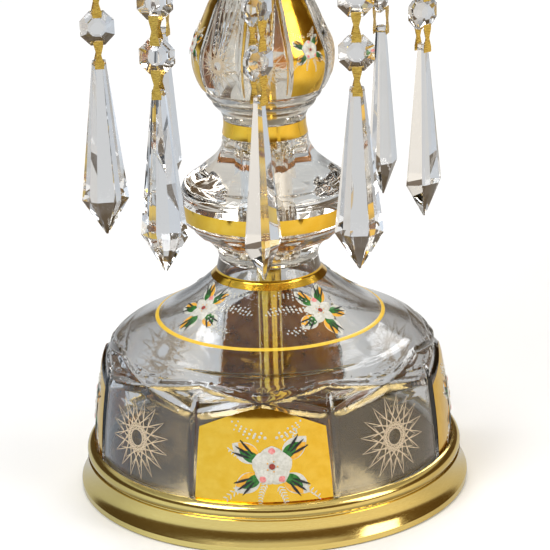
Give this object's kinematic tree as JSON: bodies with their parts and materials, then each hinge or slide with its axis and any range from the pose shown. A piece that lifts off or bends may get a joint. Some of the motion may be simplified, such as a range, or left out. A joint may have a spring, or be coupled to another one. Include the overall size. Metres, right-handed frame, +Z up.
{
  "type": "tabletop candelabra",
  "caption": "Candelabra of cut, gilded and enamelled glass on a turned brass foot, with curved glass arms and faceted drops on bead chains.",
  "frame": {"origin": "centre of the foot on the table", "axes": "+Z up along the centre rod, front towards -Y"},
  "size_m": [0.2672, 0.2672, 0.3913],
  "materials": {
    "cut_glass": "clear cut crystal with gilding and enamel",
    "crystal": "clear polished facets",
    "satin_brass": "satin pale gold plate with polished beads",
    "bright_brass": "bright gold plate",
    "felt": "dark green felt",
    "ballast": "as cast",
    "gasket": "soft translucent",
    "fixings": "zinc plated"
  },
  "bodies": {
    "root": {"felt_pad": "felt", "base_plate": "satin_brass", "base_weight": "ballast", "base_washer": "fixings", "base_nut": "fixings", "centre_rod": "fixings", "rod_sleeve": "satin_brass", "bell_gasket": "gasket", "bell": "cut_glass", "knop": "cut_glass", "glass_washers": "gasket", "vase": "cut_glass", "vase_cap": "satin_brass", "drip_pan": "cut_glass", "pendant_hooks": "bright_brass", "arm_hub": "satin_brass", "arm_sockets": "satin_brass", "cup_sockets": "satin_brass", "upper_vase": "cut_glass", "top_cap": "satin_brass", "centre_pan": "cut_glass", "centre_cup": "satin_brass", "arm_1": "cut_glass", "arm_pan_1": "cut_glass", "arm_cup_1": "satin_brass", "arm_2": "cut_glass", "arm_pan_2": "cut_glass", "arm_cup_2": "satin_brass", "arm_3": "cut_glass", "arm_pan_3": "cut_glass", "arm_cup_3": "satin_brass", "arm_4": "cut_glass", "arm_pan_4": "cut_glass", "arm_cup_4": "satin_brass"},
    "pendant_1_chain": {"pendant_links_1": "bright_brass", "pendant_beads_1": "crystal"},
    "pendant_1_spear": {"pendant_drop_1": "crystal"},
    "pendant_2_chain": {"pendant_links_2": "bright_brass", "pendant_beads_2": "crystal"},
    "pendant_2_spear": {"pendant_drop_2": "crystal"},
    "pendant_3_chain": {"pendant_links_3": "bright_brass", "pendant_beads_3": "crystal"},
    "pendant_3_spear": {"pendant_drop_3": "crystal"},
    "pendant_4_chain": {"pendant_links_4": "bright_brass", "pendant_beads_4": "crystal"},
    "pendant_4_spear": {"pendant_drop_4": "crystal"},
    "pendant_5_chain": {"pendant_links_5": "bright_brass", "pendant_beads_5": "crystal"},
    "pendant_5_spear": {"pendant_drop_5": "crystal"},
    "pendant_6_chain": {"pendant_links_6": "bright_brass", "pendant_beads_6": "crystal"},
    "pendant_6_spear": {"pendant_drop_6": "crystal"},
    "pendant_7_chain": {"pendant_links_7": "bright_brass", "pendant_beads_7": "crystal"},
    "pendant_7_spear": {"pendant_drop_7": "crystal"},
    "pendant_8_chain": {"pendant_links_8": "bright_brass", "pendant_beads_8": "crystal"},
    "pendant_8_spear": {"pendant_drop_8": "crystal"}
  },
  "joints": [
    {"name": "pendant_1_swing", "type": "hinge", "parent": "root", "child": "pendant_1_chain", "pos_m": [-0.00175, -0.06698, 0.23535], "axis": [-0.7431, -0.6691, 0], "range_deg": [-6, 10]},
    {"name": "pendant_1_sway", "type": "hinge", "parent": "pendant_1_chain", "child": "pendant_1_spear", "pos_m": [-0.00175, -0.06698, 0.1835], "axis": [0.6691, -0.7431, 0], "range_deg": [-7, 7]},
    {"name": "pendant_2_swing", "type": "hinge", "parent": "root", "child": "pendant_2_chain", "pos_m": [0.03629, -0.05632, 0.23535], "axis": [-1, 0, 0], "range_deg": [-6, 10]},
    {"name": "pendant_2_sway", "type": "hinge", "parent": "pendant_2_chain", "child": "pendant_2_spear", "pos_m": [0.03629, -0.05632, 0.1835], "axis": [0, -1, 0], "range_deg": [-7, 7]},
    {"name": "pendant_3_swing", "type": "hinge", "parent": "root", "child": "pendant_3_chain", "pos_m": [0.06618, 0.01048, 0.23535], "axis": [-0.788, -0.6157, 0], "range_deg": [-6, 10]},
    {"name": "pendant_3_sway", "type": "hinge", "parent": "pendant_3_chain", "child": "pendant_3_spear", "pos_m": [0.06618, 0.01048, 0.1835], "axis": [0.6157, -0.788, 0], "range_deg": [-7, 7]},
    {"name": "pendant_4_swing", "type": "hinge", "parent": "root", "child": "pendant_4_chain", "pos_m": [0.05057, 0.04396, 0.23535], "axis": [-0.342, -0.9397, 0], "range_deg": [-6, 10]},
    {"name": "pendant_4_sway", "type": "hinge", "parent": "pendant_4_chain", "child": "pendant_4_spear", "pos_m": [0.05057, 0.04396, 0.1835], "axis": [0.9397, -0.342, 0], "range_deg": [-7, 7]},
    {"name": "pendant_5_swing", "type": "hinge", "parent": "root", "child": "pendant_5_chain", "pos_m": [0, 0.067, 0.23535], "axis": [1, 0, 0], "range_deg": [-6, 10]},
    {"name": "pendant_5_sway", "type": "hinge", "parent": "pendant_5_chain", "child": "pendant_5_spear", "pos_m": [0, 0.067, 0.1835], "axis": [0, 1, 0], "range_deg": [-7, 7]},
    {"name": "pendant_6_swing", "type": "hinge", "parent": "root", "child": "pendant_6_chain", "pos_m": [-0.04307, 0.05132, 0.23535], "axis": [0.342, 0.9397, 0], "range_deg": [-6, 10]},
    {"name": "pendant_6_sway", "type": "hinge", "parent": "pendant_6_chain", "child": "pendant_6_spear", "pos_m": [-0.04307, 0.05132, 0.1835], "axis": [-0.9397, 0.342, 0], "range_deg": [-7, 7]},
    {"name": "pendant_7_swing", "type": "hinge", "parent": "root", "child": "pendant_7_chain", "pos_m": [-0.06696, -0.00234, 0.23535], "axis": [-0.9903, -0.1392, 0], "range_deg": [-6, 10]},
    {"name": "pendant_7_sway", "type": "hinge", "parent": "pendant_7_chain", "child": "pendant_7_spear", "pos_m": [-0.06696, -0.00234, 0.1835], "axis": [0.1392, -0.9903, 0], "range_deg": [-7, 7]},
    {"name": "pendant_8_swing", "type": "hinge", "parent": "root", "child": "pendant_8_chain", "pos_m": [-0.04079, -0.05315, 0.23535], "axis": [-0.9703, 0.2419, 0], "range_deg": [-6, 10]},
    {"name": "pendant_8_sway", "type": "hinge", "parent": "pendant_8_chain", "child": "pendant_8_spear", "pos_m": [-0.04079, -0.05315, 0.1835], "axis": [-0.2419, -0.9703, 0], "range_deg": [-7, 7]}
  ]
}
